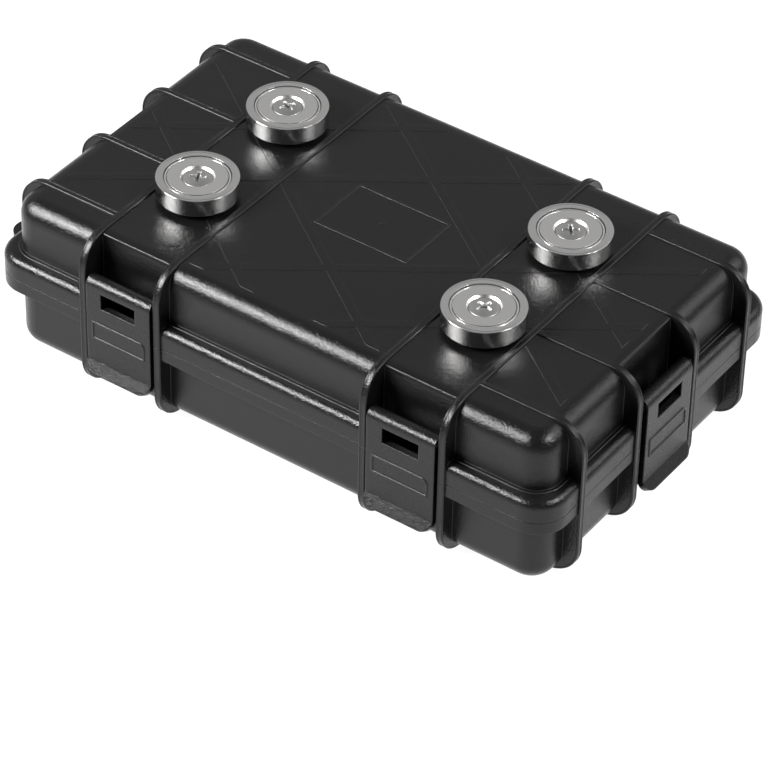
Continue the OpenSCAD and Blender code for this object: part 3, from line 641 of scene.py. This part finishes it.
def rounded_profile(corners, cuts):
    """Closed profile with soft corners. Each corner p, with unit directions a and b to its neighbours,
    becomes the curve p + d((1 - t)**2 a + t**2 b), which leaves both sides at the distance d. One more
    point close to each end of a curve keeps the flat next to it flat in the shading."""
    corners = np.array(corners, float)
    to_last = np.roll(corners, 1, 0) - corners
    to_next = np.roll(corners, -1, 0) - corners
    to_last /= np.linalg.norm(to_last, axis=1)[:, None]
    to_next /= np.linalg.norm(to_next, axis=1)[:, None]
    t = np.linspace(0, 1, CORNER_STEPS)[None, :, None]
    depth = np.array(cuts, float)[:, None, None]
    curves = corners[:, None] + depth * ((1 - t) ** 2 * to_last[:, None] + t**2 * to_next[:, None])
    before = corners[:, None] + (depth + FLAT_MARGIN) * to_last[:, None]
    after = corners[:, None] + (depth + FLAT_MARGIN) * to_next[:, None]
    return np.concatenate([before, curves, after], 1).reshape(-1, 2)


def turned_grid(radius, height, middle):
    """Point (i, j) stands at radius r_i and height z_i, at the angle 2 pi j / n round the middle."""
    angle = np.linspace(0, 2 * math.pi, ROUND_STEPS, endpoint=False)
    x = middle[0] + radius[:, None] * np.cos(angle)
    y = middle[1] + radius[:, None] * np.sin(angle)
    return np.stack([x, y, np.broadcast_to(height[:, None], x.shape)], 2)


def turned_ring(name, corners, cuts, middle, material):
    """A ring: a closed profile in millimetres, with soft corners, carried round the middle."""
    profile = rounded_profile(corners, cuts) * MM
    grid = turned_grid(profile[:, 0], profile[:, 1], middle)
    faces = grid_faces(len(profile), ROUND_STEPS, True)
    return make_piece(name, grid.reshape(-1, 3), faces, "lid", material)


print("turning helpers ready")

# %% Cups, ring magnets and filler
HOLE_R = 2.8
SINK_R = 5.2
FILLER_STEP = 0.12
FILLER_GAP = 0.22
SCORE_IN = 0.75
SCORE_HALF = 0.15
SCORE_DEEP = 0.04
CUP_CUTS = [0.1, 0.04, 0.02, 0.02, 0.02, 0.1, 0.1, 0.1, 0.1]
RING_CUTS = [0.06, 0.04, 0.1, 0.1, 0.1]
FILLER_CUTS = [0.2, 0.2, 0.05, 0.05]

cup_low, cup_high = body_box("magnet_cup_front_left")
ring_low, ring_high = body_box("magnet_ring_front_left")
filler_low, filler_high = body_box("cup_filler_front_left")
cup_r, ring_r, filler_r = [float(high[0] - low[0]) / 2 / MM for low, high in
                           ((cup_low, cup_high), (ring_low, ring_high), (filler_low, filler_high))]
cup_bottom, cup_top = float(cup_low[2]) / MM, float(cup_high[2]) / MM
ring_bottom, ring_top = float(ring_low[2]) / MM, float(ring_high[2]) / MM
score_r = cup_r - SCORE_IN
cup_profile = [(filler_r, ring_bottom), (filler_r, cup_top), (score_r - SCORE_HALF, cup_top),
               (score_r, cup_top - SCORE_DEEP), (score_r + SCORE_HALF, cup_top), (cup_r, cup_top),
               (cup_r, cup_bottom), (HOLE_R, cup_bottom), (HOLE_R, ring_bottom)]
ring_profile = [(SINK_R, ring_top), (ring_r, ring_top), (ring_r, ring_bottom), (HOLE_R, ring_bottom),
                (HOLE_R, ring_top - SINK_R + HOLE_R)]
filler_top = ring_top - FILLER_STEP
filler_profile = [(ring_r + FILLER_GAP, filler_top), (filler_r - FILLER_GAP, filler_top),
                  (filler_r - FILLER_GAP, ring_bottom), (ring_r + FILLER_GAP, ring_bottom)]
for name in magnet_names:
    middle = cup_middle[name]
    cup = turned_ring("turned_cup_" + name, cup_profile, CUP_CUTS, middle, cup_nickel[name])
    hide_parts("magnet_cup_" + name)
    ring = turned_ring("ring_magnet_" + name, ring_profile, RING_CUTS, middle, ring_nickel[name])
    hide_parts("magnet_ring_" + name)
    filler = turned_ring("filler_ring_" + name, filler_profile, FILLER_CUTS, middle, cup_resin)
    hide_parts("cup_filler_" + name)

# %% [markdown]
# ## Cross-head screws
# A pressed cross recess has sloping arms that deepen towards the middle, and the thread is rolled. Both
# could be cut with booleans. A single grid of rings, from the middle of the head out over its dome, down
# the cone and along the thread, needs no boolean, because the recess is only a depth at each point.

# %% Screw grid
THREAD_PITCH = 0.8
THREAD_DEPTH = 0.24
THREAD_LENGTH = 8.0
THREAD_START = 0.1
TIP_CHAMFER = 0.35
SHANK_R = 2.5
SHANK_ROWS = 6
RECESS_ARM = 2.5
RECESS_HALF = 0.55
RECESS_MIDDLE_R = 0.95
RECESS_DEEP = 1.0
RECESS_STEEP = 5
HEAD_R = 4.5
HEAD_LAND = 0.15
HEAD_DOME = 0.6
FINE_ROWS = 40
FINE_MARGIN = 0.3
COARSE_ROWS = 12
COARSE_MARGIN = 0.4
AXIS_R = 0.03


def recess_depth(x, y):
    """Depth of the cross recess in millimetres. It is a steep multiple of the distance inside the cross,
    at most a floor that rises in a straight line from the middle towards the tips of the arms."""
    u, v = np.abs(x), np.abs(y)
    along_x = np.minimum(RECESS_ARM - u, RECESS_HALF - v)
    along_y = np.minimum(RECESS_ARM - v, RECESS_HALF - u)
    radius = np.hypot(x, y)
    inside = np.maximum(np.maximum(along_x, along_y), RECESS_MIDDLE_R - radius)
    floor = RECESS_DEEP * (1 - radius / (RECESS_ARM * 2))
    return np.minimum(RECESS_STEEP * np.maximum(inside, 0), np.maximum(floor, 0))


def screw_piece(name, middle, low, high, turn):
    """A screw as one grid of rings. Row by row: the domed head with its recess, the land, the cone, the
    plain shank, then the thread, whose radius is a cosine of height and angle together."""
    angle = np.linspace(0, 2 * math.pi, ROUND_STEPS, endpoint=False)[None, :]
    fine_r = np.linspace(AXIS_R, RECESS_ARM + FINE_MARGIN, FINE_ROWS)
    coarse_r = np.linspace(RECESS_ARM + COARSE_MARGIN, HEAD_R, COARSE_ROWS)
    head_r = np.concatenate([fine_r, coarse_r])[:, None]
    x, y = head_r * np.cos(angle - turn), head_r * np.sin(angle - turn)
    dome = high - HEAD_DOME * (head_r / HEAD_R) ** 2
    head_z = dome - recess_depth(x, y)
    land = high - HEAD_DOME - HEAD_LAND
    thread_top = low + THREAD_LENGTH
    shank_z = np.linspace(land - (HEAD_R - SHANK_R), thread_top, SHANK_ROWS)[:, None]
    thread_z = np.arange(thread_top - THREAD_START, low + TIP_CHAMFER, -THREAD_PITCH / 10)[:, None]
    fade = np.clip((thread_top - thread_z) / THREAD_PITCH, 0, 1)
    wave = (1 - np.cos(2 * math.pi * thread_z / THREAD_PITCH - angle)) / 2
    thread_r = SHANK_R - THREAD_DEPTH * wave * fade
    ones = np.ones_like(angle)
    radius = np.concatenate([head_r * ones, HEAD_R * ones, SHANK_R * np.ones((SHANK_ROWS, 1)) * ones,
                             thread_r, (SHANK_R - TIP_CHAMFER) * ones, AXIS_R * ones])
    height = np.concatenate([head_z, land * ones, shank_z * ones, thread_z * ones, low * ones, low * ones])
    grid = np.stack([middle[0] + radius * np.cos(angle) * MM, middle[1] + radius * np.sin(angle) * MM,
                     height * MM], 2)
    faces = grid_faces(len(radius), ROUND_STEPS, False)
    last_ring = (len(radius) - 1) * ROUND_STEPS
    caps = [np.arange(ROUND_STEPS)[::-1], np.arange(ROUND_STEPS) + last_ring]
    return make_piece(name, grid.reshape(-1, 3), faces, "lid", screw_steel, caps)


SCREW_TURNS = {"front_left": 25, "front_right": -12, "back_left": 62, "back_right": 38}
for name, degrees in SCREW_TURNS.items():
    screw = screw_piece("cross_screw_" + name, cup_middle[name], float(screw_low[2]) / MM,
                        float(screw_high[2]) / MM, math.radians(degrees))
    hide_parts("cup_screw_" + name)

# %% [markdown]
# ## Camera
# The photograph was taken with a long lens from the right front corner, looking down by about forty
# degrees. A camera can be placed by eye. Here its angles, distance and focal length were solved from the
# magnet rims and the long edges of the case, and only those few numbers are kept.

# %% Camera
PHOTO_SIZE = 768
FOCAL_PIXELS = 4141.14
SENSOR_WIDTH = 36.0
camera_round = math.radians(34.6)
camera_up = math.radians(39.56)
camera_roll = math.radians(1.34)
camera_target = Vector((44.59, -61.96, 56.2)) * MM
camera_distance = 1151.84 * MM

outward = Vector((math.sin(camera_round) * math.cos(camera_up),
                  -math.cos(camera_round) * math.cos(camera_up), math.sin(camera_up)))
level_right = Vector((math.cos(camera_round), math.sin(camera_round), 0))
level_up = outward.cross(level_right)
right = level_right * math.cos(camera_roll) + level_up * math.sin(camera_roll)
up = level_up * math.cos(camera_roll) - level_right * math.sin(camera_roll)
lens = bpy.data.cameras.new("camera")
lens.sensor_width = SENSOR_WIDTH
lens.lens = FOCAL_PIXELS / PHOTO_SIZE * SENSOR_WIDTH
camera = bpy.data.objects.new("camera", lens)
bpy.context.scene.collection.objects.link(camera)
turn = Matrix((right, up, outward)).transposed().to_4x4()
camera.matrix_world = Matrix.Translation(camera_target + outward * camera_distance) @ turn
bpy.context.scene.camera = camera
print("lens", round(lens.lens, 1), "mm at", [round(v, 3) for v in camera.location])

# %% [markdown]
# ## Light and floor
# A black glossy thing is mostly a mirror of its studio. The walls show the white floor, the roof shows
# the sky behind it, and each rounded edge shows a lamp. So the light was worked out backwards from the
# highlights: a strong soft lamp at the left front, a smaller one at the right, a wide weak one at the
# back right, and a sky that is grey behind the case and along the horizon, and dark in front of the case
# and overhead. The floor is a grey sheet that also glows, for the camera and for mirrors only. So the
# background and its reflection in the walls are white, and the glow adds no other light to the case.

# %% Lamps


def soft_lamp(name, direction, distance, width, height, radiance):
    """A rectangular lamp that faces the case. Its power is pi times its area times its radiance."""
    data = bpy.data.lights.new(name, "AREA")
    data.shape = "RECTANGLE"
    data.size = width
    data.size_y = height
    data.energy = math.pi * width * height * radiance
    lamp = bpy.data.objects.new(name, data)
    bpy.context.scene.collection.objects.link(lamp)
    away = Vector(direction).normalized()
    lamp.location = away * distance
    lamp.rotation_mode = "QUATERNION"
    lamp.rotation_quaternion = away.to_track_quat("Z", "Y")
    print(name, "gives", round(data.energy, 2), "W")
    return lamp


soft_lamp("front left lamp", (-0.55, -0.58, 0.6), 1.2, 0.62, 0.42, 42.0)
soft_lamp("right lamp", (0.72, 0.14, 0.68), 1.3, 0.36, 0.32, 32.0)
soft_lamp("back right lamp", (0.54, 0.6, 0.59), 1.3, 0.7, 0.9, 2.2)

# %% Sky and floor
SKY_BACK = 0.42
SKY_FRONT = 0.05
HORIZON = 0.4
HORIZON_LOW = 0.1
HORIZON_HIGH = 0.5
OVERHEAD_LOW = 0.66
OVERHEAD_HIGH = 0.9
OVERHEAD_DIM = 0.75
FRONT_DIRECTION = (0.5, -0.86, 0.0)
FRONT_START = -0.3
FRONT_FULL = 0.8

world = bpy.data.worlds.new("studio")
bpy.context.scene.world = world
sky = Graph(world)
direction = sky.node("ShaderNodeTexCoord", output=0)
height = sky.node("ShaderNodeSeparateXYZ", None, {0: direction}, 2)
toward_front = sky.node("ShaderNodeVectorMath", {"operation": "DOT_PRODUCT"},
                        {0: direction, 1: FRONT_DIRECTION}, 1)
horizon = 1 - sky.smooth(height, HORIZON_LOW, HORIZON_HIGH)
front = sky.smooth(toward_front, FRONT_START, FRONT_FULL)
level = front * (SKY_FRONT - SKY_BACK) + SKY_BACK
level = level * (1 - sky.smooth(height, OVERHEAD_LOW, OVERHEAD_HIGH) * OVERHEAD_DIM)
level = level + (HORIZON - level) * horizon
background = sky.node("ShaderNodeBackground", None, {"Color": grey(1.0), "Strength": level})
sky.node("ShaderNodeOutputWorld", None, {"Surface": background})

FLOOR_HALF = 6.0
FLOOR_Z = -0.05 * MM
SHEET_NEAR = 0.15
SHEET_FAR = 0.02
NEAR_DISTANCE = 0.26
FAR_DISTANCE = 0.5
SHEET_GLOW = 6.4
floor_material, g = new_material("floor")
place = g.node("ShaderNodeTexCoord", output=3)
from_case = g.node("ShaderNodeVectorMath", {"operation": "LENGTH"}, {0: place}, 1)
# Painted pool of light: the sheet and its glow are bright near the case and fade to dark grey beyond
# NEAR_DISTANCE, so the far floor mirrors dark.
sheet = g.grey_mix(g.smooth(from_case, NEAR_DISTANCE, FAR_DISTANCE), grey(SHEET_NEAR), grey(SHEET_FAR))
path = g.node("ShaderNodeLightPath")
rays = path.socket.node.outputs
seen = Value(g, rays["Is Camera Ray"]) + Value(g, rays["Is Glossy Ray"])
seen = seen + Value(g, rays["Is Transmission Ray"])
white = g.node("ShaderNodeEmission", None, {"Color": sheet, "Strength": seen * SHEET_GLOW})
matt = g.node("ShaderNodeBsdfDiffuse", None, {"Color": sheet})
g.surface(g.node("ShaderNodeAddShader", None, {0: white, 1: matt}))
corners = np.array([[-1, -1], [1, -1], [1, 1], [-1, 1]]) * FLOOR_HALF
floor_mesh = bpy.data.meshes.new("floor")
floor_mesh.from_pydata([(x, y, FLOOR_Z) for x, y in corners], [], [(0, 1, 2, 3)])
floor_mesh.materials.append(floor_material)
floor = bpy.data.objects.new("floor", floor_mesh)
bpy.context.scene.collection.objects.link(floor)
bpy.context.scene.view_settings.view_transform = "Standard"
print("floor at", FLOOR_Z, "m")
